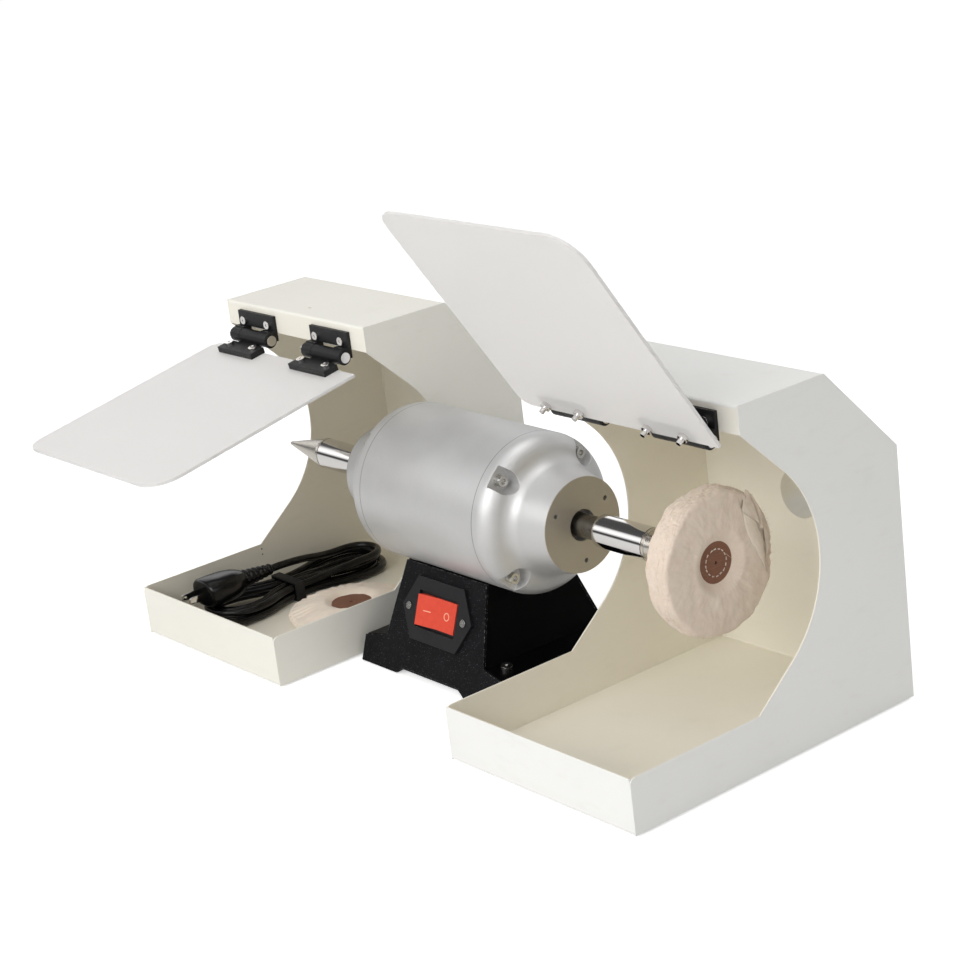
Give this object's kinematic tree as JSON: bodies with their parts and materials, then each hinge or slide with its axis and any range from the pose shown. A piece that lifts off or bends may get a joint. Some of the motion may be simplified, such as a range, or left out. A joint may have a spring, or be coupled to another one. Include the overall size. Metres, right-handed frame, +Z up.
{
  "type": "dental polishing lathe",
  "caption": "Bench polishing lathe: twin-ended motor on a pedestal with tapered spindles, cloth buffs and folded splash hoods with hinged clear shields.",
  "frame": {"origin": "on the bench under the middle of the motor, in the plane of the undersides of the feet", "axes": "+X along the spindle to the mounted buff, +Y away from the operator, +Z up"},
  "size_m": [0.6173, 0.3883, 0.409],
  "materials": {
    "motor_aluminium": "satin blasted cast aluminium",
    "plated_steel": "bright zinc-plated steel",
    "lamination": "stacked electrical steel",
    "copper": "enamelled copper wire",
    "bearing_steel": "ground bearing steel",
    "shaft_steel": "turned steel",
    "chrome_plate": "mirror chrome plate",
    "satin_steel": "satin turned steel",
    "muslin": "loose unbleached muslin plies, frayed at the rim",
    "hub_fibre": "pressed brown fibre disc",
    "crinkle_paint": "black crinkle enamel",
    "gloss_paint": "smooth black enamel",
    "base_paint": "plain dark primer",
    "foot_rubber": "soft black rubber",
    "saddle_iron": "fettled cast iron",
    "switch_plate_plastic": "fine-grained dark moulding",
    "switch_black": "black moulded nylon",
    "rocker_red": "translucent red moulding",
    "capacitor_case": "moulded capacitor can",
    "terminal_plastic": "white moulded nylon",
    "hood_enamel": "ivory powder coat on sheet steel",
    "shield_plastic": "frosted translucent sheet with polished edges",
    "hinge_plastic": "black glass-filled nylon",
    "cord_pvc": "black PVC sheath",
    "tie_strap": "black strap"
  },
  "bodies": {
    "root": {"motor_body": "motor_aluminium", "end_bell_left": "motor_aluminium", "end_bell_right": "motor_aluminium", "through_bolts": "plated_steel", "through_bolt_nuts": "plated_steel", "bolt_washers": "plated_steel", "stator_core": "lamination", "stator_windings": "copper", "bearing_outer_rings": "bearing_steel", "pedestal_front_plate": "crinkle_paint", "pedestal_rear_plate": "crinkle_paint", "pedestal_side_left": "gloss_paint", "pedestal_side_right": "gloss_paint", "pedestal_base_plate": "base_paint", "rubber_feet": "foot_rubber", "base_screws": "plated_steel", "motor_saddle": "saddle_iron", "saddle_bolts": "plated_steel", "switch_plate": "switch_plate_plastic", "switch_housing": "switch_black", "switch_plate_screws": "plated_steel", "run_capacitor": "capacitor_case", "terminal_block": "terminal_plastic", "mains_inlet": "switch_black", "hood_left_shell": "hood_enamel", "hood_left_outer_panel": "hood_enamel", "hood_left_inner_panel": "hood_enamel", "hood_right_shell": "hood_enamel", "hood_right_outer_panel": "hood_enamel", "hood_right_inner_panel": "hood_enamel", "dust_spigots": "hood_enamel", "hinge_fixed_leaves_left": "hinge_plastic", "hinge_fixed_leaves_right": "hinge_plastic", "hinge_lip_screws": "chrome_plate", "spare_buff": "muslin", "spare_buff_hub": "hub_fibre", "cord_hank": "cord_pvc", "mains_plug": "cord_pvc", "appliance_connector": "cord_pvc", "cord_tie": "tie_strap"},
    "spindle": {"motor_shaft": "shaft_steel", "rotor_core": "lamination", "bearing_inner_rings": "bearing_steel", "bearing_balls": "bearing_steel", "spindle_sleeve_left": "chrome_plate", "spindle_sleeve_right": "chrome_plate", "sleeve_set_screws": "plated_steel", "taper_spindle_left": "satin_steel", "taper_spindle_right": "satin_steel", "polishing_buff": "muslin", "buff_hub": "hub_fibre"},
    "left_shield": {"shield_left": "shield_plastic", "hinge_moving_leaves_left": "hinge_plastic", "hinge_pins_left": "chrome_plate", "shield_screws_left": "chrome_plate"},
    "right_shield": {"shield_right": "shield_plastic", "hinge_moving_leaves_right": "hinge_plastic", "hinge_pins_right": "chrome_plate", "shield_screws_right": "chrome_plate"},
    "rocker": {"switch_rocker": "rocker_red"}
  },
  "joints": [
    {"name": "spindle_spin", "type": "hinge", "parent": "root", "child": "spindle", "pos_m": [0, 0, 0.137], "axis": [1, 0, 0], "continuous": true},
    {"name": "left_shield_hinge", "type": "hinge", "parent": "root", "child": "left_shield", "pos_m": [-0.1957, -0.02685, 0.24], "axis": [-1, 0, 0], "range_deg": [-49, 101]},
    {"name": "right_shield_hinge", "type": "hinge", "parent": "root", "child": "right_shield", "pos_m": [0.2216, -0.02685, 0.24], "axis": [-1, 0, 0], "range_deg": [-117, 33]},
    {"name": "rocker_tilt", "type": "hinge", "parent": "root", "child": "rocker", "pos_m": [0, -0.0486, 0.05337], "axis": [0, 0.3387, 0.9409], "range_deg": [-16, 0]}
  ]
}
